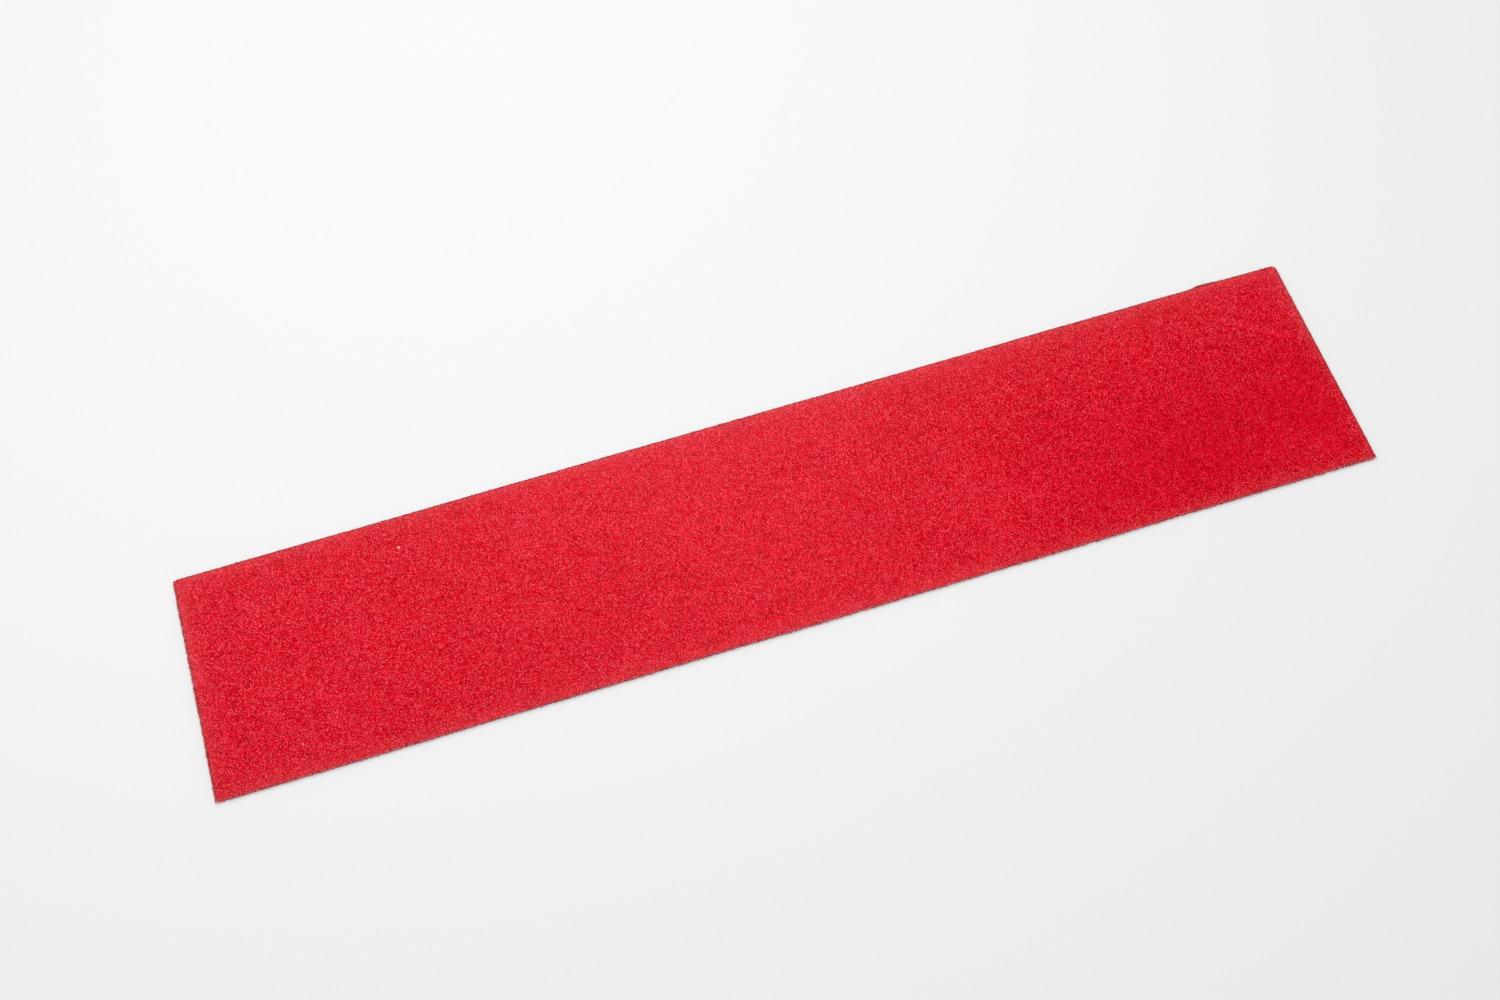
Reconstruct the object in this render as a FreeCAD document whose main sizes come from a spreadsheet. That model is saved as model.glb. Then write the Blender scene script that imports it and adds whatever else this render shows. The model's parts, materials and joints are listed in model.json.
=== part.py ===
import FreeCAD, Part
import Sketcher
import os

# A strip of climbing skin, 620 x 130 mm, plush side up on its release liner.
# From the table up: release liner, glue, waterproof membrane, woven ground cloth, pile.
# The four layers above the liner are one limp laminate. Each is cut into equal panels at the
# bend lines, so that both ends can curl up off the liner about lines across the pile's face.
# Origin: middle of the liner's underside. +X runs along the strip to its tip, +Z is up.

doc = FreeCAD.newDocument("climbing_skin")

# Driving sizes in millimetres. Each is set by itself; everything below is tied to them.
sheet = doc.addObject("Spreadsheet::Sheet", "sizes")
drivingSizes = [
    ("strip_length", 620),
    ("strip_width", 130),
    ("liner_thickness", 0.2),
    ("glue_thickness", 0.3),
    ("membrane_thickness", 0.15),
    ("ground_thickness", 0.5),
    ("pile_height", 1.6),
    ("bend_clearance", 0.2),  # gap between neighbouring panels at a bend line
    ("bends_each_side", 5),  # bend lines between the middle panel and either end
]
for row, (alias, value) in enumerate(drivingSizes, start=1):
    sheet.set(f"A{row}", alias)
    sheet.set(f"B{row}", str(value))
    sheet.setAlias(f"B{row}", alias)
doc.recompute()

# Layers of the laminate from the liner up, each with the alias of its thickness.
layers = [
    ("glue", "glue_thickness"),
    ("membrane", "membrane_thickness"),
    ("ground_cloth", "ground_thickness"),
    ("pile", "pile_height"),
]

bendsEachSide = int(sheet.bends_each_side)
panelLength = (
    "((<<sizes>>.strip_length - 2 * <<sizes>>.bends_each_side * <<sizes>>.bend_clearance)"
    " / (2 * <<sizes>>.bends_each_side + 1))"
)
panelPitch = f"({panelLength} + <<sizes>>.bend_clearance)"


def panelNames():
    """Panels in order along +X, as (name, steps from the middle panel)."""
    tail = [(f"tail_{step}", -step) for step in range(bendsEachSide, 0, -1)]
    tip = [(f"tip_{step}", step) for step in range(1, bendsEachSide + 1)]
    return tail + [("middle", 0)] + tip


def originPlane(body, role):
    for feature in body.Origin.OriginFeatures:
        if feature.Role == role:
            return feature
    raise RuntimeError(f"{body.Name} has no origin plane {role}")


def rectangleSketch(body, lengthExpression):
    """A rectangle on the body's XY plane, centred on its origin, strip_width across."""
    sketch = body.newObject("Sketcher::SketchObject", f"{body.Name}_outline")
    sketch.AttachmentSupport = [(originPlane(body, "XY_Plane"), "")]
    sketch.MapMode = "FlatFace"
    right, top = 10.0, 5.0  # only the starting shape; the constraints set the real one
    corners = [(-right, -top), (right, -top), (right, top), (-right, top)]
    for start, end in zip(corners, corners[1:] + corners[:1]):
        sketch.addGeometry(
            Part.LineSegment(FreeCAD.Vector(*start, 0), FreeCAD.Vector(*end, 0)), False
        )
    for edge in range(4):
        sketch.addConstraint(Sketcher.Constraint("Coincident", edge, 2, (edge + 1) % 4, 1))
    for edge in (0, 2):
        sketch.addConstraint(Sketcher.Constraint("Horizontal", edge))
    for edge in (1, 3):
        sketch.addConstraint(Sketcher.Constraint("Vertical", edge))
    sketch.addConstraint(Sketcher.Constraint("Symmetric", 0, 1, 2, 1, -1, 1))
    lengthIndex = sketch.addConstraint(Sketcher.Constraint("DistanceX", 0, 1, 0, 2, 2 * right))
    widthIndex = sketch.addConstraint(Sketcher.Constraint("DistanceY", 1, 1, 1, 2, 2 * top))
    sketch.renameConstraint(lengthIndex, "outline_length")
    sketch.renameConstraint(widthIndex, "outline_width")
    sketch.setExpression("Constraints.outline_length", lengthExpression)
    sketch.setExpression("Constraints.outline_width", "<<sizes>>.strip_width")
    return sketch


def flatPiece(name, lengthExpression, thicknessAlias, xExpression, zExpression):
    """One flat piece cut from sheet: a rectangle padded up by its layer's thickness."""
    body = doc.addObject("PartDesign::Body", name)
    body.Label = name
    sketch = rectangleSketch(body, lengthExpression)
    pad = body.newObject("PartDesign::Pad", f"{name}_thickness")
    pad.Profile = sketch
    pad.setExpression("Length", f"<<sizes>>.{thicknessAlias}")
    body.Tip = pad
    body.setExpression(".Placement.Base.x", xExpression)
    body.setExpression(".Placement.Base.z", zExpression)
    return body


subParts = [flatPiece("release_liner", "<<sizes>>.strip_length", "liner_thickness", "0", "0")]
undersideAliases = ["liner_thickness"]
for layer, thicknessAlias in layers:
    underside = " + ".join(f"<<sizes>>.{alias}" for alias in undersideAliases)
    for panel, steps in panelNames():
        subParts.append(
            flatPiece(f"{layer}_{panel}", panelLength, thicknessAlias, f"{steps} * {panelPitch}", underside)
        )
    undersideAliases.append(thicknessAlias)

doc.recompute()

for item in doc.Objects:
    if "Invalid" in item.State or "Error" in item.State:
        raise RuntimeError(f"{item.Label} did not recompute: {item.State}")
for body in subParts:
    if body.Shape.isNull() or not body.Shape.isValid() or len(body.Shape.Solids) != 1:
        raise RuntimeError(f"{body.Label} is not one valid solid")

os.makedirs("parts", exist_ok=True)
for body in subParts:
    body.Shape.exportStep(f"parts/{body.Label}.step")

pitch = sheet.strip_length - 2 * bendsEachSide * sheet.bend_clearance
pitch = pitch / (2 * bendsEachSide + 1) + sheet.bend_clearance
pileTop = sum(getattr(sheet, alias) for alias in undersideAliases)
print(f"{len(subParts)} sub-parts, pile's face at z = {pileTop:.3f} mm")
print("bend lines at x =", [round((step - 0.5) * pitch, 4) for step in range(1, bendsEachSide + 1)])
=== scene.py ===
import json
import math

import bpy
import numpy as np

from mathutils import Matrix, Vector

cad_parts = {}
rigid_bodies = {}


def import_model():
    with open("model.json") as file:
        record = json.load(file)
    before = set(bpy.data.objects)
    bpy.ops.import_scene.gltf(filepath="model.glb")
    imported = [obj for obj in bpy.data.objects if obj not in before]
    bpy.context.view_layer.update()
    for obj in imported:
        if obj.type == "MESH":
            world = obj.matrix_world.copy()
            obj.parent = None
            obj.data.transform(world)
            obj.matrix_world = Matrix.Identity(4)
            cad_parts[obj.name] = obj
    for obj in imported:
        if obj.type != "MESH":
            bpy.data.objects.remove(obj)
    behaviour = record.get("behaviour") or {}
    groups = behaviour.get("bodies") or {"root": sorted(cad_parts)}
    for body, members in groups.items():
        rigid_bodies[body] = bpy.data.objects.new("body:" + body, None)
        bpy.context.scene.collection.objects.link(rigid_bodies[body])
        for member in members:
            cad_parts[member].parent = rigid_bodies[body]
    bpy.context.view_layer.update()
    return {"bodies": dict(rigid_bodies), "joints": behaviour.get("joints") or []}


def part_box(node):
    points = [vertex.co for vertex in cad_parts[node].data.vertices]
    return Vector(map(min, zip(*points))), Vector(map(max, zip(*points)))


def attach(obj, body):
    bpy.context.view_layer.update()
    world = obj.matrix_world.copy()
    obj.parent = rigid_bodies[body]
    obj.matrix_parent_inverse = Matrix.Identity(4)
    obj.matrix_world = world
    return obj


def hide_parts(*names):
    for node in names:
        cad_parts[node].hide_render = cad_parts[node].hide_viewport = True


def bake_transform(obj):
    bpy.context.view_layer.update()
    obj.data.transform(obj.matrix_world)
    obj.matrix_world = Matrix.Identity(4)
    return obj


# A cut strip of red climbing skin, plush side up on its release liner.
# All sizes are metres in the CAD frame: X along the strip to its tip, Y across it, Z up.

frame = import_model()
stripLow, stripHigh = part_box("release_liner")
halfLength = (stripHigh.x - stripLow.x) / 2
halfWidth = (stripHigh.y - stripLow.y) / 2
millimetre = 0.001


def layerHeights(layer):
    low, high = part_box(f"{layer}_middle")
    return low.z, high.z


def smoothStep(value):
    # 0 below 0, 1 above 1, and 3t2 - 2t3 between
    t = np.clip(value, 0.0, 1.0)
    return t * t * (3 - 2 * t)


def latticeNoise(x, y, cell, seed):
    # random values from -1 to 1 on a square lattice over the strip and a few cells round it, joined by
    # smoothStep from one lattice point to the next
    margin = 3
    columns = int(2 * halfLength / cell) + 2 * margin + 2
    rows = int(2 * halfWidth / cell) + 2 * margin + 2
    lattice = np.random.default_rng(seed).uniform(-1, 1, (columns, rows))
    u = np.clip((x + halfLength) / cell + margin, 0, columns - 1.001)
    v = np.clip((y + halfWidth) / cell + margin, 0, rows - 1.001)
    i = np.floor(u).astype(int)
    j = np.floor(v).astype(int)
    a = smoothStep(u - i)
    b = smoothStep(v - j)
    near = lattice[i, j] * (1 - a) + lattice[i + 1, j] * a
    far = lattice[i, j + 1] * (1 - a) + lattice[i + 1, j + 1] * a
    return near * (1 - b) + far * b


def layeredNoise(x, y, layers):
    # lattice noises added up: each layer is a cell size, a strength and a seed
    return sum(strength * latticeNoise(x, y, cell, seed) for cell, strength, seed in layers)


# The hand-cut outline. Every layer is cut through it, so they all share it.
cut = {
    "farWaver": [(34 * millimetre, 0.12 * millimetre, 71)],  # how the long cuts wander: cell, reach, seed
    "nearWaver": [(34 * millimetre, 0.12 * millimetre, 72)],
    "slipAt": 0.2655,  # where the blade slipped outwards on the far edge
    "slipReach": (0.004, 0.016),  # towards the tail, towards the tip
    "slipOut": 0.7 * millimetre,
    "fadeInwards": 6 * millimetre,
    "corners": [  # 1 for the tip end, 1 for the far edge, radius
        (1, 1, 2.6 * millimetre),
        (1, -1, 0.5 * millimetre),
        (-1, 1, 1.3 * millimetre),
        (-1, -1, 0.5 * millimetre),
    ],
}


def cutOutline(x, y):
    # moves a point of the plain rectangle to the cut strip: the long edges wander by smooth noise and one
    # slip, and each end draws in by its corners' circles; the moves fade out inwards by smoothStep
    fade = cut["fadeInwards"]
    fromSlip = x - cut["slipAt"]
    fromSlip = fromSlip / np.where(fromSlip < 0, *cut["slipReach"])
    far = layeredNoise(x, 0 * x, cut["farWaver"]) + cut["slipOut"] * np.exp(-(fromSlip**2))
    near = layeredNoise(x, 0 * x, cut["nearWaver"])
    byEdge = smoothStep((np.abs(y) - halfWidth + fade) / fade)
    movedY = y + byEdge * np.where(y > 0, far, -near)
    pullIn = 0 * x
    for endSign, edgeSign, radius in cut["corners"]:
        into = np.clip(y * edgeSign - (halfWidth - radius), 0, radius)
        draw = radius - np.sqrt(radius**2 - into**2)
        byEnd = smoothStep((x * endSign - halfLength + fade) / fade)
        pullIn = pullIn - endSign * draw * byEnd
    return x + pullIn, movedY


def buildMesh(name, points, faceGroups, smoothGroups, maps, attributes=None):
    # one mesh from arrays: a face group is an array of vertex numbers with one row per face, smoothGroups
    # says which groups are shaded smooth, and maps and attributes hold values per vertex
    mesh = bpy.data.meshes.new(name)
    loops = np.concatenate([group.ravel() for group in faceGroups]).astype(np.int32)
    totals = np.concatenate([np.full(len(group), group.shape[1]) for group in faceGroups])
    starts = np.concatenate([[0], np.cumsum(totals)[:-1]])
    mesh.vertices.add(len(points))
    mesh.vertices.foreach_set("co", np.asarray(points, np.float32).ravel())
    mesh.loops.add(len(loops))
    mesh.loops.foreach_set("vertex_index", loops)
    mesh.polygons.add(len(totals))
    mesh.polygons.foreach_set("loop_start", starts.astype(np.int32))
    mesh.polygons.foreach_set("loop_total", totals.astype(np.int32))
    smooth = np.concatenate([np.full(len(group), flag) for group, flag in zip(faceGroups, smoothGroups)])
    mesh.update(calc_edges=True)
    mesh.polygons.foreach_set("use_smooth", smooth)
    # an edge between a smooth face and a flat one is sharp
    edgeOfLoop = np.zeros(len(loops), np.int32)
    mesh.loops.foreach_get("edge_index", edgeOfLoop)
    smoothLoop = np.repeat(smooth, totals)
    beside = np.zeros((2, len(mesh.edges)), bool)
    beside[0, edgeOfLoop[smoothLoop]] = True
    beside[1, edgeOfLoop[~smoothLoop]] = True
    mesh.edges.foreach_set("use_edge_sharp", beside.all(axis=0))
    for mapName, values in maps.items():
        layer = mesh.uv_layers.new(name=mapName)
        layer.data.foreach_set("uv", values[loops].astype(np.float32).ravel())
    for attributeName, values in (attributes or {}).items():
        attribute = mesh.attributes.new(attributeName, "FLOAT", "POINT")
        attribute.data.foreach_set("value", values.astype(np.float32).ravel())
    piece = bpy.data.objects.new(name, mesh)
    bpy.context.scene.collection.objects.link(piece)
    return piece


def gridFaces(columns, rows, first=0):
    # quads of a grid whose vertex number is first + column * rows + row, facing +Z
    i, j = np.meshgrid(np.arange(columns - 1), np.arange(rows - 1), indexing="ij")
    corner = first + (i * rows + j).ravel()
    return np.stack([corner, corner + rows, corner + rows + 1, corner + 1], axis=1)


def closedSlab(x, y, bottomZ, topZ):
    # a flat slab: the same grid below and above, and a wall round the rim joins the two
    columns, rows = x.shape
    count = columns * rows
    above = np.stack([x, y, topZ], axis=-1).reshape(-1, 3)
    below = np.stack([x, y, bottomZ], axis=-1).reshape(-1, 3)
    index = np.arange(count).reshape(columns, rows)
    rim = np.concatenate([index[:, 0], index[-1, 1:], index[-2::-1, -1], index[0, -2:0:-1]])
    onward = np.roll(rim, -1)
    walls = np.stack([rim + count, onward + count, onward, rim], axis=1)
    faces = [gridFaces(columns, rows), gridFaces(columns, rows, count)[:, ::-1], walls]
    return np.concatenate([above, below]), faces


def linkNodes(tree, source, output, target, socket):
    tree.links.new(source.outputs[output], target.inputs[socket])


def addNode(tree, kind, **settings):
    made = tree.nodes.new(kind)
    for name, value in settings.items():
        setattr(made, name, value)
    return made


def newSurface(name, **values):
    # a material with only its shader, whose plain values are set on the shader's own sockets
    material = bpy.data.materials.new(name)
    material.use_nodes = True
    tree = material.node_tree
    shader = tree.nodes["Principled BSDF"]
    for socket, value in values.items():
        shader.inputs[socket].default_value = value
    return material, tree, shader


def colourRamp(tree, stops):
    ramp = addNode(tree, "ShaderNodeValToRGB")
    elements = ramp.color_ramp.elements
    while len(elements) < len(stops):
        elements.new(0.5)
    for element, (place, colour) in zip(elements, stops):
        element.position = place
        element.color = (*colour, 1)
    return ramp


def noiseOnStrip(tree, scale, detail=2.0, stretch=(1, 1)):
    # noise on the piece's own map, which holds metres along and across the strip at rest
    where = addNode(tree, "ShaderNodeUVMap", uv_map="strip")
    mapping = addNode(tree, "ShaderNodeMapping")
    mapping.inputs["Scale"].default_value = (*stretch, 1)
    noise = addNode(tree, "ShaderNodeTexNoise")
    noise.inputs["Scale"].default_value = scale
    noise.inputs["Detail"].default_value = detail
    linkNodes(tree, where, "UV", mapping, "Vector")
    linkNodes(tree, mapping, "Vector", noise, "Vector")
    return noise


def threadsOnStrip(tree, pitch, waviness, direction):
    # parallel threads: bands that repeat every pitch (the node repeats 20 times in 2 pi at scale 1)
    where = addNode(tree, "ShaderNodeUVMap", uv_map="strip")
    bands = addNode(tree, "ShaderNodeTexWave", bands_direction=direction)
    bands.inputs["Scale"].default_value = 2 * math.pi / (20 * pitch)
    bands.inputs["Distortion"].default_value = waviness
    linkNodes(tree, where, "UV", bands, "Vector")
    return bands


def bumpFrom(tree, shader, heightSocket, strength, height):
    bump = addNode(tree, "ShaderNodeBump")
    bump.inputs["Strength"].default_value = strength
    bump.inputs["Distance"].default_value = height
    tree.links.new(heightSocket, bump.inputs["Height"])
    linkNodes(tree, bump, "Normal", shader, "Normal")


def mathNode(tree, operation, *values):
    made = addNode(tree, "ShaderNodeMath", operation=operation)
    for socket, value in zip(made.inputs, values):
        if isinstance(value, (int, float)):
            socket.default_value = value
        else:
            tree.links.new(value, socket)
    return made.outputs["Value"]


def cloudedFinish(tree, shader, finish):
    # colour and roughness that both follow one slow noise
    noise = noiseOnStrip(tree, *finish["clouds"])
    ramp = colourRamp(tree, finish["colours"])
    rough = addNode(tree, "ShaderNodeMapRange")
    for socket, value in zip(("To Min", "To Max"), finish["roughness"]):
        rough.inputs[socket].default_value = value
    linkNodes(tree, noise, "Fac", ramp, "Fac")
    linkNodes(tree, noise, "Fac", rough, "Value")
    linkNodes(tree, ramp, "Color", shader, "Base Color")
    linkNodes(tree, rough, "Result", shader, "Roughness")


panelMiddle = {}
for body in frame["bodies"]:
    if body != "liner":
        low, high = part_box(f"pile_{body}")
        panelMiddle[body] = (low.x + high.x) / 2

hinges = sorted((j for j in frame["joints"] if j["type"] == "hinge"), key=lambda j: j["pos_m"][0])
zones = []
for place, hinge in enumerate(hinges):
    left, right = sorted((hinge["parent"], hinge["child"]), key=lambda body: panelMiddle[body])
    zones.append(
        {
            "name": hinge["name"],
            "left": left,
            "right": right,
            "line": hinge["pos_m"][0],
            "start": stripLow.x if place == 0 else panelMiddle[left],
            "end": stripHigh.x if place == len(hinges) - 1 else panelMiddle[right],
        }
    )
print("zones:", len(zones))


def bendWithZone(piece):
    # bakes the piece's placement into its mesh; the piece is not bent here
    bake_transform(piece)


def zoneGrid(zone, pitch, inset=0.0):
    # grid over one zone of the cut outline, drawn in by inset at the strip's own edges
    columns = max(3, round((zone["end"] - zone["start"]) / pitch)) + 1
    rows = round(2 * halfWidth / pitch) + 1
    along = np.linspace(zone["start"], zone["end"], columns)
    across = np.linspace(-halfWidth, halfWidth, rows)
    x, y = cutOutline(*np.meshgrid(along, across, indexing="ij"))
    return x * (1 - inset / halfLength), y * (1 - inset / halfWidth)


# The pile: a dense mass of fibres with a lumpy face, and single strands that stand out of it. Heights are
# shares of the pile's own height.
pile = {
    "inset": 0.12 * millimetre,  # the cut pile stands back from the backing's edge
    "massPitch": 0.8 * millimetre,
    "massHeight": 0.52,
    "massLumps": [(1.7 * millimetre, 0.07, 11), (3.4 * millimetre, 0.03, 12)],  # cell, height, seed
    "massRounding": 0.4 * millimetre,
    "massRim": 0.1,  # where the rounding stops, as a share of its own reach
    "strandPitch": 0.56 * millimetre,
    "strandPlace": (0.05, 0.95),  # where its root may stand in its own cell
    "strandRadius": 0.42 * millimetre,
    "strandSize": (0.75, 1.2),
    "rootHeight": 0.30,
    "tipHeight": 0.92,
    "tipRandom": 0.08,
    "tipLimits": (-2, 2.5),  # of the random part, in standard deviations
    "tipLumps": [(1.7 * millimetre, 0.12, 11)],
    "lean": -0.25 * millimetre,  # the nap's lie, towards the tail
    "leanRandom": 0.22 * millimetre,
    "leanClumpsX": [(1.6 * millimetre, 0.18 * millimetre, 21)],
    "leanClumpsY": [(1.6 * millimetre, 0.18 * millimetre, 22)],
    "edgeReach": 0.8 * millimetre,  # where strands lean outwards and stand a little lower
    "edgeLean": 0.3 * millimetre,
    "edgeLower": 0.15,
    "toneRandom": 0.50,  # how much strands differ in tone
    # painted shade at the strand roots and painted light at the tips
    "paintedRootShade": -0.14,
    "paintedTipLight": 0.10,
    "seed": 5,
}

# Strands that flop over the cut edge and half hide the backing
fringe = {
    "pitch": 0.12 * millimetre,
    "thin": 0.6,  # radius next to a standing strand's
    "droop": (0.5, 1.0),
    "out": 0.32 * millimetre,
    "fall": 2.05 * millimetre,
    "lowest": stripHigh.z + 0.02 * millimetre,  # just clear of the liner
    "nearPaintedLight": 0.46,  # painted light on the near edge, a little painted shade on the far edge, halfway at the ends
    "farPaintedShade": -0.10,
    "seed": 6,
}

# Tone from 0 dark to 1 light, the same all over but for soft mottling, the painted sheen and shade of
# brushed patches and painted shade along the rim
nap = {
    "base": 0.5,
    "mottle": [(22 * millimetre, 0.02, 31), (7 * millimetre, 0.01, 32)],  # cell, tone, seed
    "paintedRimShade": -0.22,  # painted shade along the very edge, where the roots are shaded
    "rimReach": 0.35 * millimetre,
}
# Where the nap has been brushed and catches more or less light, painted as sheen and shade: x, y, reach
# along, reach across, tone, whitish painted sheen
brushedNapLight = [
    (0.000, 0.000, 0.120, 0.200, 0.035, 0.003),
    (-0.080, 0.040, 0.110, 0.040, 0.02, 0.001),
    (-0.250, 0.000, 0.090, 0.080, 0.02, -0.003),
    (0.105, -0.018, 0.018, 0.022, 0.05, 0.002),
    (0.230, -0.034, 0.125, 0.072, -0.030, -0.015),
    (0.285, -0.052, 0.028, 0.012, 0.04, 0.002),
    (0.302, 0.000, 0.024, 0.200, 0.00, -0.007),
    (0.060, 0.056, 0.150, 0.020, 0.00, 0.005),
]
# Painted sheen: a whitish share mixed into the red, a mottled little everywhere, more along the cut edges
# and towards the far edge; lint strands take their own white in its place
paintedSheenAndLint = {
    "all": 0.004,
    "mottle": [(2.4 * millimetre, 0.0040, 51), (5.0 * millimetre, 0.0025, 52)],  # cell, share, seed
    "farEdge": 0.060,
    "nearEdge": 0.040,
    "edgeReach": 3.6 * millimetre,
    "farBand": 0.006,
    "farBandReach": 22 * millimetre,
    "deepening": -60,  # how soon the red deepens where the painted sheen falls below 0
}
crease = {
    "from": (0.268, 0.041),
    "to": (0.306, 0.014),
    "reach": 1.8 * millimetre,
    "endShare": 0.4,  # how much of it is left where it begins and ends, about
    "tone": 0.14,
    "press": 0.18,
}
lint = {
    "share": 0.00004,  # of all strands
    "spots": [(-0.1925, 0.0465), (-0.002, -0.032)],
    "spotRadius": 0.55 * millimetre,
    "whiteness": 0.95,
    "thicker": 0.4,
}


def creaseShare(x, y):
    # a bell curve away from the crease's line, times a sine arch along it that is lower at its ends
    ax, ay = crease["from"]
    bx, by = crease["to"]
    length2 = (bx - ax) ** 2 + (by - ay) ** 2
    t = np.clip(((x - ax) * (bx - ax) + (y - ay) * (by - ay)) / length2, 0, 1)
    away2 = (x - ax - t * (bx - ax)) ** 2 + (y - ay - t * (by - ay)) ** 2
    arch = np.sin(np.pi * (0.15 + 0.7 * t))
    share = crease["endShare"] + (1 - crease["endShare"]) * arch
    return np.exp(-away2 / crease["reach"] ** 2) * share


def brushedNapLightSum(x, y, column):
    # the brushed patches' painted sheen and shade added up as bell shapes, weighted by one column of their
    # table
    total = 0 * x
    for patch in brushedNapLight:
        atX, atY, reachX, reachY = patch[:4]
        total = total + patch[column] * np.exp(-(((x - atX) / reachX) ** 2) - ((y - atY) / reachY) ** 2)
    return total


def fromEdge(x, y):
    # how far inside the nearest edge of the plain rectangle
    return np.clip(np.minimum(halfWidth - np.abs(y), halfLength - np.abs(x)), 0, 1)


def napTone(x, y):
    # slow change of tone over the strip: mottling, the brushed patches' painted sheen and shade and the
    # crease added up, and painted shade as an exponential towards the rim
    tone = layeredNoise(x, y, nap["mottle"]) + brushedNapLightSum(x, y, 4) + crease["tone"] * creaseShare(x, y)
    return nap["base"] + tone + nap["paintedRimShade"] * np.exp(-fromEdge(x, y) / nap["rimReach"])


def napPaintedSheen(x, y):
    # share of whitish painted sheen: a mottled little everywhere, more along the cut edges, fading inwards
    # as an exponential; below 0 the red is deeper instead
    edge = np.where(y > 0, paintedSheenAndLint["farEdge"], paintedSheenAndLint["nearEdge"])
    edge = edge * np.exp(-fromEdge(x, y) / paintedSheenAndLint["edgeReach"])
    band = paintedSheenAndLint["farBand"] * np.exp(-(halfWidth - y) / paintedSheenAndLint["farBandReach"])
    return paintedSheenAndLint["all"] + layeredNoise(x, y, paintedSheenAndLint["mottle"]) + brushedNapLightSum(x, y, 5) + band + edge


plush = {
    "ramp": [  # from shaded roots to lit tips
        (0.00, (0.285, 0.000, 0.002)),
        (0.25, (0.520, 0.000, 0.004)),
        (0.50, (0.740, 0.000, 0.018)),
        (0.75, (0.885, 0.053, 0.094)),
        (1.00, (0.960, 0.178, 0.225)),
    ],
    # the deeper red where the painted sheen falls below 0, and the whitish colour of painted sheen and of
    # lint
    "deeper": (1.0, 0.1, 0.65, 1),
    "sheenAndLintColour": (0.95, 0.78, 0.78, 1),
    "fibreScale": 2200,
    "fibreTone": 0.5,
    "fibreBump": (0.4, 0.15 * millimetre),  # strength, height
}


def makePileSurface():
    material, tree, shader = newSurface(
        "redPlush",
        **{
            "Roughness": 0.75,
            "Specular IOR Level": 0.03,
            "Sheen Weight": 0.02,
            "Sheen Roughness": 0.5,
            "Sheen Tint": (1.0, 0.62, 0.64, 1),
        },
    )
    shade = addNode(tree, "ShaderNodeAttribute", attribute_name="shade")
    sheenOrLintShare = addNode(tree, "ShaderNodeAttribute", attribute_name="paintedSheenAndLint")
    fibres = noiseOnStrip(tree, plush["fibreScale"])
    fibreTone = plush["fibreTone"]
    wiggle = mathNode(tree, "MULTIPLY_ADD", fibres.outputs["Fac"], fibreTone, -fibreTone / 2)
    ramp = colourRamp(tree, plush["ramp"])
    tree.links.new(mathNode(tree, "ADD", shade.outputs["Fac"], wiggle), ramp.inputs["Fac"])
    # painted sheen: towards a deeper red below 0 and towards whitish above it; lint strands mix in their
    # own white
    deepen = addNode(tree, "ShaderNodeMix", data_type="RGBA", blend_type="MULTIPLY")
    deepen.inputs["B"].default_value = plush["deeper"]
    below = mathNode(tree, "MULTIPLY", sheenOrLintShare.outputs["Fac"], paintedSheenAndLint["deepening"])
    tree.links.new(below, deepen.inputs["Factor"])
    linkNodes(tree, ramp, "Color", deepen, "A")
    whiten = addNode(tree, "ShaderNodeMix", data_type="RGBA")
    whiten.inputs["B"].default_value = plush["sheenAndLintColour"]
    linkNodes(tree, sheenOrLintShare, "Fac", whiten, "Factor")
    linkNodes(tree, deepen, "Result", whiten, "A")
    linkNodes(tree, whiten, "Result", shader, "Base Color")
    bumpFrom(tree, shader, fibres.outputs["Fac"], *plush["fibreBump"])
    return material


def pileMass(zone, floorZ, height):
    # the mass: a lumpy face over the zone, a plain bottom and a wall round it; at the strip's edges the
    # face drops as the square root of the way in
    x, y = zoneGrid(zone, pile["massPitch"], pile["inset"])
    inward = np.minimum(halfWidth - np.abs(y), halfLength - np.abs(x)) - pile["inset"]
    rounded = np.sqrt(np.clip(inward / pile["massRounding"], pile["massRim"], 1))
    pressed = 1 - crease["press"] * creaseShare(x, y)
    z = floorZ + height * (pile["massHeight"] + layeredNoise(x, y, pile["massLumps"])) * rounded * pressed
    columns, rows = x.shape
    count = columns * rows
    face = np.stack([x, y, z], axis=-1).reshape(-1, 3)
    nearRim = np.stack([x[:, 0], y[:, 0], np.full(columns, floorZ)], axis=-1)
    farRim = np.stack([x[:, -1], y[:, -1], np.full(columns, floorZ)], axis=-1)
    index = np.arange(count).reshape(columns, rows)
    near = count + np.arange(columns)
    far = near + columns
    faces = [
        gridFaces(columns, rows),
        np.stack([near[:-1], far[:-1], far[1:], near[1:]], axis=1),
        np.stack([near[:-1], near[1:], index[1:, 0], index[:-1, 0]], axis=1),
        np.stack([far[1:], far[:-1], index[:-1, -1], index[1:, -1]], axis=1),
        np.concatenate([index[0, :], far[:1], near[:1]])[None, :],
        np.concatenate([index[-1, ::-1], near[-1:], far[-1:]])[None, :],
    ]
    points = np.concatenate([face, nearRim, farRim])
    # painted shade: darker the deeper a point lies in the mass
    depth = 1 - (points[:, 2] - floorZ) / height
    shade = napTone(points[:, 0], points[:, 1]) + pile["paintedRootShade"] * depth
    return points, faces, shade


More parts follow.
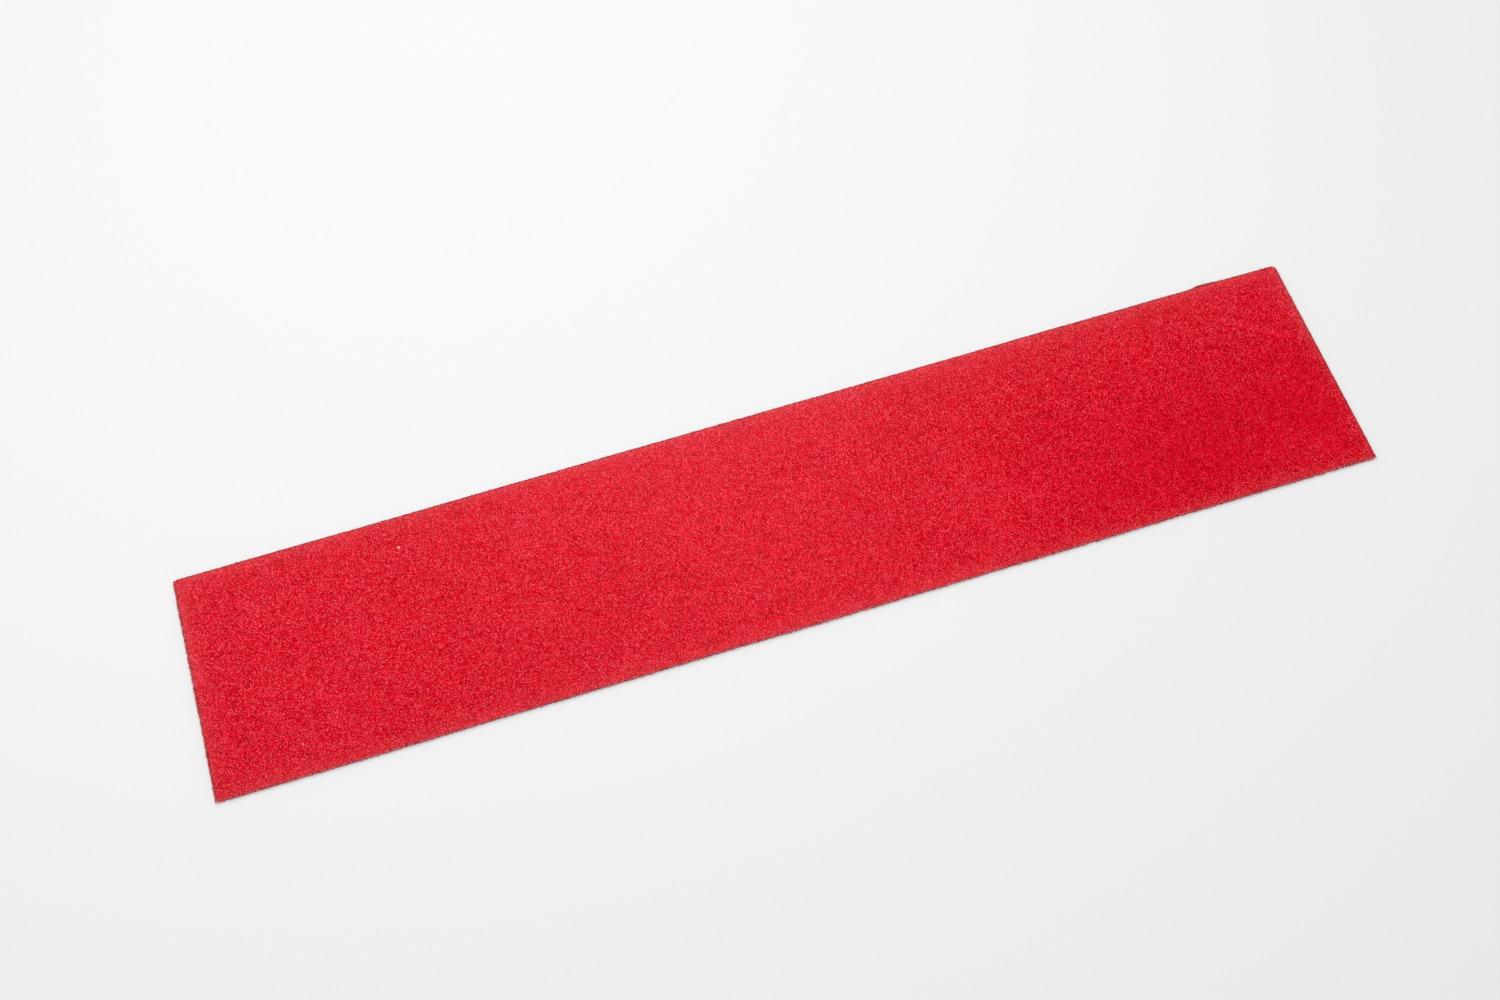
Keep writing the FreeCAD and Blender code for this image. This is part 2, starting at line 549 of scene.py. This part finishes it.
def perStrand(rng, x, y):
    # what differs at random from strand to strand, lengths and tones as normal deviates
    count = x.size
    isLint = rng.uniform(0, 1, count) < lint["share"]
    for spotX, spotY in lint["spots"]:
        isLint |= np.hypot(x - spotX, y - spotY) < lint["spotRadius"]
    return {
        "x": x,
        "y": y,
        "isLint": isLint,
        "turn": rng.uniform(0, 2 * np.pi, count),
        "size": rng.uniform(*pile["strandSize"], count),
        "long": rng.normal(0, 1, count).clip(*pile["tipLimits"]),
        "leanX": rng.normal(0, pile["leanRandom"], count),
        "leanY": rng.normal(0, pile["leanRandom"], count),
        "tone": rng.normal(0, 1, count),
    }


def strandField():
    # the roots of all strands: a grid over the strip with each root moved at random inside its cell
    rng = np.random.default_rng(pile["seed"])
    columns = round(2 * halfLength / pile["strandPitch"])
    rows = round(2 * halfWidth / pile["strandPitch"])
    i, j = np.meshgrid(np.arange(columns), np.arange(rows), indexing="ij")
    x = -halfLength + (i + rng.uniform(*pile["strandPlace"], i.shape)) * 2 * halfLength / columns
    y = -halfWidth + (j + rng.uniform(*pile["strandPlace"], j.shape)) * 2 * halfWidth / rows
    shrinkX = 1 - pile["inset"] / halfLength
    shrinkY = 1 - pile["inset"] / halfWidth
    field = perStrand(rng, x.ravel() * shrinkX, y.ravel() * shrinkY)
    field["droop"] = np.zeros(field["x"].size)
    return field


def fringeField():
    # strands that flop over the cut edge: their roots follow the rim, and droop says how far they fall
    rng = np.random.default_rng(fringe["seed"])
    along = int(2 * halfLength / fringe["pitch"])
    across = int(2 * halfWidth / fringe["pitch"])
    x = [rng.uniform(-halfLength, halfLength, along * 2), np.repeat([-halfLength, halfLength], across)]
    y = [np.repeat([-halfWidth, halfWidth], along), rng.uniform(-halfWidth, halfWidth, across * 2)]
    field = perStrand(rng, np.concatenate(x), np.concatenate(y))
    field["droop"] = rng.uniform(*fringe["droop"], field["x"].size)
    return field


def strandMesh(field, chosen, floorZ, height):
    # each strand is a thin three-sided spike: a closed root triangle, and a tip moved sideways by its lean.
    # outX and outY grow to 1 at the strip's edges as exponentials, and a fringe strand's tip hangs below
    # its root there
    f = {key: values[chosen] for key, values in field.items()}
    x, y = cutOutline(f["x"], f["y"])
    count = x.size
    hangs = f["droop"] > 0
    outX = np.sign(x) * np.exp(-(halfLength - np.abs(x)) / pile["edgeReach"])
    outY = np.sign(y) * np.exp(-(halfWidth - np.abs(y)) / pile["edgeReach"])
    leanX = pile["lean"] + layeredNoise(x, y, pile["leanClumpsX"]) + f["leanX"] + pile["edgeLean"] * outX
    leanY = layeredNoise(x, y, pile["leanClumpsY"]) + f["leanY"] + pile["edgeLean"] * outY
    edge = 1 - pile["edgeLower"] * np.maximum(np.abs(outX), np.abs(outY))
    pressed = 1 - crease["press"] * creaseShare(x, y)
    standing = pile["tipHeight"] + pile["tipRandom"] * f["long"] + layeredNoise(x, y, pile["tipLumps"])
    tip = floorZ + height * standing * edge * pressed
    root = floorZ + pile["rootHeight"] * height * (1 + f["droop"])
    hanging = np.maximum(root - f["droop"] * fringe["fall"], fringe["lowest"])
    radius = pile["strandRadius"] * f["size"] * (1 + lint["thicker"] * f["isLint"])
    radius = radius * np.where(hangs, fringe["thin"], 1)
    points = np.zeros((count, 4, 3))
    for corner in range(3):
        angle = f["turn"] + corner * 2 * np.pi / 3
        points[:, corner, 0] = x + radius * (np.cos(angle) - hangs * outX)
        points[:, corner, 1] = y + radius * (np.sin(angle) - hangs * outY)
        points[:, corner, 2] = root
    points[:, 3, 0] = x + leanX + hangs * fringe["out"] * outX
    points[:, 3, 1] = y + leanY + hangs * fringe["out"] * outY
    points[:, 3, 2] = np.where(hangs, hanging, tip)
    first = 4 * np.arange(count)[:, None]
    corners = np.array([[0, 2, 1], [0, 1, 3], [1, 2, 3], [2, 0, 3]])
    faces = (first[:, :, None] + corners[None]).reshape(-1, 3)
    # painted light on the near edge's fringe, painted shade on the far edge's
    fringeLightAndShade = (fringe["nearPaintedLight"] * (1 - outY) + fringe["farPaintedShade"] * (1 + outY)) / 2
    tone = napTone(x, y) + pile["toneRandom"] * f["tone"] + hangs * fringeLightAndShade
    # painted shade on the root corners, painted light at the tip
    shade = tone[:, None] + np.array([pile["paintedRootShade"]] * 3 + [pile["paintedTipLight"]])[None, :]
    # lint's own white, and the painted sheen everywhere else
    sheenOrLintShare = np.where(f["isLint"], lint["whiteness"], napPaintedSheen(x, y))
    return points.reshape(-1, 3), faces, shade.ravel(), np.repeat(sheenOrLintShare, 4)


def bakeMap(points, zone, count, strands):
    # where each face is baked: the mass in the upper half as seen from above, and in the lower half one
    # square cell for each strand
    across = (points[:count, 1] + halfWidth) / (2 * halfWidth)
    along = (points[:count, 0] - zone["start"]) / (zone["end"] - zone["start"])
    mass = np.stack([np.clip(along, 0, 1), 0.5 + 0.5 * np.clip(across, 0, 1)], axis=1)
    columns = 2 * math.ceil(math.sqrt(strands / 2))
    cell = np.arange(strands)
    origin = np.stack([cell % columns, cell // columns], axis=1)
    corners = np.array([[0.1, 0.1], [0.5, 0.1], [0.9, 0.1], [0.5, 0.9]])
    spikes = (origin[:, None, :] + corners[None]) / columns
    return np.concatenate([mass, spikes.reshape(-1, 2)])


def makePile():
    floorZ, topZ = layerHeights("pile")
    height = topZ - floorZ
    surface = makePileSurface()
    standing = strandField()
    hanging = fringeField()
    field = {key: np.concatenate([standing[key], hanging[key]]) for key in standing}
    pieces = {}
    for zone in zones:
        points, faces, shade = pileMass(zone, floorZ, height)
        count = len(points)
        chosen = (field["x"] >= zone["start"]) & (field["x"] < zone["end"])
        if zone is zones[-1]:
            chosen |= field["x"] >= zone["end"]
        spikes, spikeFaces, spikeShade, spikeSheenAndLint = strandMesh(field, chosen, floorZ, height)
        everything = np.concatenate([points, spikes])
        maps = {"strip": everything[:, :2], "OFBake": bakeMap(points, zone, count, len(spikes) // 4)}
        attributes = {
            "shade": np.concatenate([shade, spikeShade]),
            "paintedSheenAndLint": np.concatenate([napPaintedSheen(points[:, 0], points[:, 1]), spikeSheenAndLint]),
        }
        groups = [*faces, spikeFaces + count]
        smooth = [True, False, False, False, False, False, True]
        piece = buildMesh(f"pile_{zone['name']}", everything, groups, smooth, maps, attributes)
        piece.data.materials.append(surface)
        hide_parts(f"pile_{zone['left']}", f"pile_{zone['right']}")
        bendWithZone(piece)
        pieces[zone["name"]] = piece
    print("pile:", sum(len(p.data.polygons) for p in pieces.values()), "faces")
    return pieces


# Backing: woven ground cloth, waterproof membrane and glue, one slab each in every zone.
backing = {
    "pitch": 2.2 * millimetre,
    "glueLift": 0.09 * millimetre,  # room over the liner for the dip at the start of a peel
    "glueRelief": [(4 * millimetre, 0.03 * millimetre, 41)],  # cell, height, seed
}
clothFinish = {
    "warpPitch": 0.45 * millimetre,
    "weftPitch": 0.55 * millimetre,
    "waviness": 0.6,
    "colours": [
        (0.0, (0.16, 0.006, 0.012)),
        (0.6, (0.42, 0.020, 0.032)),
        (1.0, (0.60, 0.050, 0.065)),
    ],
    "bump": (0.6, 0.12 * millimetre),  # strength, height
}
membraneFinish = {
    "clouds": (120, 3.0),  # scale, detail
    "colours": [(0.3, (0.090, 0.086, 0.090)), (0.7, (0.150, 0.144, 0.148))],
    "roughness": (0.35, 0.6),
}
glueFinish = {
    "clouds": (45, 3.0),
    "colours": [
        (0.25, (0.016, 0.016, 0.018)),
        (0.55, (0.030, 0.030, 0.033)),
        (0.80, (0.060, 0.058, 0.058)),
    ],
    "roughness": (0.32, 0.62),
    "pebbles": (650, 4.0, (0.45, 1)),  # scale, detail, stretch
    "bump": (0.7, 0.25 * millimetre),
}


def makeGroundSurface():
    material, tree, shader = newSurface("groundCloth", **{"Roughness": 0.9, "Specular IOR Level": 0.2})
    warp = threadsOnStrip(tree, clothFinish["warpPitch"], clothFinish["waviness"], "Y")
    weft = threadsOnStrip(tree, clothFinish["weftPitch"], clothFinish["waviness"], "X")
    crossing = mathNode(tree, "MAXIMUM", warp.outputs["Fac"], weft.outputs["Fac"])
    ramp = colourRamp(tree, clothFinish["colours"])
    tree.links.new(crossing, ramp.inputs["Fac"])
    linkNodes(tree, ramp, "Color", shader, "Base Color")
    bumpFrom(tree, shader, crossing, *clothFinish["bump"])
    return material


def makeMembraneSurface():
    material, tree, shader = newSurface("membraneFilm", **{"Specular IOR Level": 0.45})
    cloudedFinish(tree, shader, membraneFinish)
    return material


def makeGlueSurface():
    material, tree, shader = newSurface("tackyGlue", **{"Specular IOR Level": 0.5})
    cloudedFinish(tree, shader, glueFinish)
    pebbles = noiseOnStrip(tree, *glueFinish["pebbles"])
    bumpFrom(tree, shader, pebbles.outputs["Fac"], *glueFinish["bump"])
    return material


def makeBacking(pilePieces):
    surfaces = {
        "ground_cloth": makeGroundSurface(),
        "membrane": makeMembraneSurface(),
        "glue": makeGlueSurface(),
    }
    for zone in zones:
        x, y = zoneGrid(zone, backing["pitch"])
        for layer, surface in surfaces.items():
            bottomZ, topZ = layerHeights(layer)
            relief = 0 * x
            if layer == "glue":
                deepest = sum(height for _, height, _ in backing["glueRelief"])
                relief = backing["glueLift"] + deepest + layeredNoise(x, y, backing["glueRelief"])
            points, faces = closedSlab(x, y, bottomZ + relief, topZ + 0 * x)
            maps = {"strip": points[:, :2]}
            piece = buildMesh(f"{layer}_{zone['name']}", points, faces, [True, True, False], maps)
            piece.data.materials.append(surface)
            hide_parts(f"{layer}_{zone['left']}", f"{layer}_{zone['right']}")
            bendWithZone(piece)
    print("backing:", 3 * len(zones), "slabs")


# The release liner: a milky siliconised film, a hair short of the cut all round.
liner = {
    "pitch": 4 * millimetre,
    "inset": 0.15 * millimetre,
    "clouds": (28, 4.0),
    "colours": [(0.3, (0.66, 0.68, 0.69)), (0.7, (0.74, 0.76, 0.77))],
    "roughness": (0.33, 0.42),
}


def makeLiner():
    whole = {"start": -halfLength, "end": halfLength}
    x, y = zoneGrid(whole, liner["pitch"], liner["inset"])
    points, faces = closedSlab(x, y, stripLow.z + 0 * x, stripHigh.z + 0 * x)
    piece = buildMesh("liner_film", points, faces, [True, True, False], {"strip": points[:, :2]})
    material, tree, shader = newSurface("milkyFilm", **{"Specular IOR Level": 0.5})
    cloudedFinish(tree, shader, liner)
    piece.data.materials.append(material)
    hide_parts("release_liner")
    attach(piece, "liner")
    print("liner laid")


makeLiner()
makeBacking(makePile())

# Stage: a pale floor that glows a little, as a light table does, and one soft lamp above.
stage = {
    "floorReach": 20.0,
    "floorDrop": 0.2 * millimetre,  # keeps the floor clear of the liner
    "floorColour": (0.40, 0.40, 0.40, 1),
    "floorGlow": 0.408,
    "worldStrength": 0.68,
    "lampPlace": (-0.093, 0.371, 0.855),
    "lampSize": 1.0,
    "lampPower": 7.2,
}
plainWhite = (1.0, 1.0, 1.0, 1)
scene = bpy.context.scene


def makeStage():
    reach = stage["floorReach"]
    floorZ = stripLow.z - stage["floorDrop"]
    corners = [(x * reach, y * reach, floorZ) for x, y in ((-1, -1), (1, -1), (1, 1), (-1, 1))]
    floorMesh = bpy.data.meshes.new("floor")
    floorMesh.from_pydata(corners, [], [(0, 1, 2, 3)])
    floor = bpy.data.objects.new("floor", floorMesh)
    scene.collection.objects.link(floor)
    table, _, _ = newSurface(
        "lightTable",
        **{
            "Base Color": stage["floorColour"],
            "Roughness": 0.9,
            "Specular IOR Level": 0.1,
            "Emission Color": plainWhite,
            "Emission Strength": stage["floorGlow"],
        },
    )
    floorMesh.materials.append(table)
    scene.world = bpy.data.worlds.new("studio")
    scene.world.use_nodes = True
    backdrop = scene.world.node_tree.nodes["Background"]
    backdrop.inputs["Color"].default_value = plainWhite
    backdrop.inputs["Strength"].default_value = stage["worldStrength"]
    lamp = bpy.data.lights.new("softLamp", "AREA")  # shines straight down
    lamp.size = stage["lampSize"]
    lamp.energy = stage["lampPower"]
    lampObject = bpy.data.objects.new("softLamp", lamp)
    lampObject.location = stage["lampPlace"]
    scene.collection.objects.link(lampObject)
    print("stage set")


# Camera: high in front and a little to the left, rolled slightly, on a normal lens.
view = {
    "azimuth": -12.2,
    "elevation": 60.1,
    "roll": -5.6,
    "distance": 1.1465,
    "lens": 52.14,
    "sensorWidth": 36,
    "target": (-0.0090, 0.0160, 0.0),
}


def placeCamera():
    # stands back from the target by azimuth and elevation, then turns about its own axis by the roll
    azimuth, elevation, roll = (math.radians(view[key]) for key in ("azimuth", "elevation", "roll"))
    level = np.array([math.sin(azimuth), -math.cos(azimuth), 0])
    back = math.cos(elevation) * level + np.array([0, 0, math.sin(elevation)])
    side = np.cross((0, 0, 1), back)
    side /= np.linalg.norm(side)
    up = np.cross(back, side)
    data = bpy.data.cameras.new("camera")
    data.lens = view["lens"]
    data.sensor_width = view["sensorWidth"]
    camera = bpy.data.objects.new("camera", data)
    scene.collection.objects.link(camera)
    matrix = np.eye(4)
    matrix[:3, 0] = math.cos(roll) * side + math.sin(roll) * up
    matrix[:3, 1] = -math.sin(roll) * side + math.cos(roll) * up
    matrix[:3, 2] = back
    matrix[:3, 3] = np.array(view["target"]) + back * view["distance"]
    camera.matrix_world = Matrix(matrix.tolist())
    scene.camera = camera
    print("camera placed")


makeStage()
placeCamera()
scene.view_settings.view_transform = "Standard"
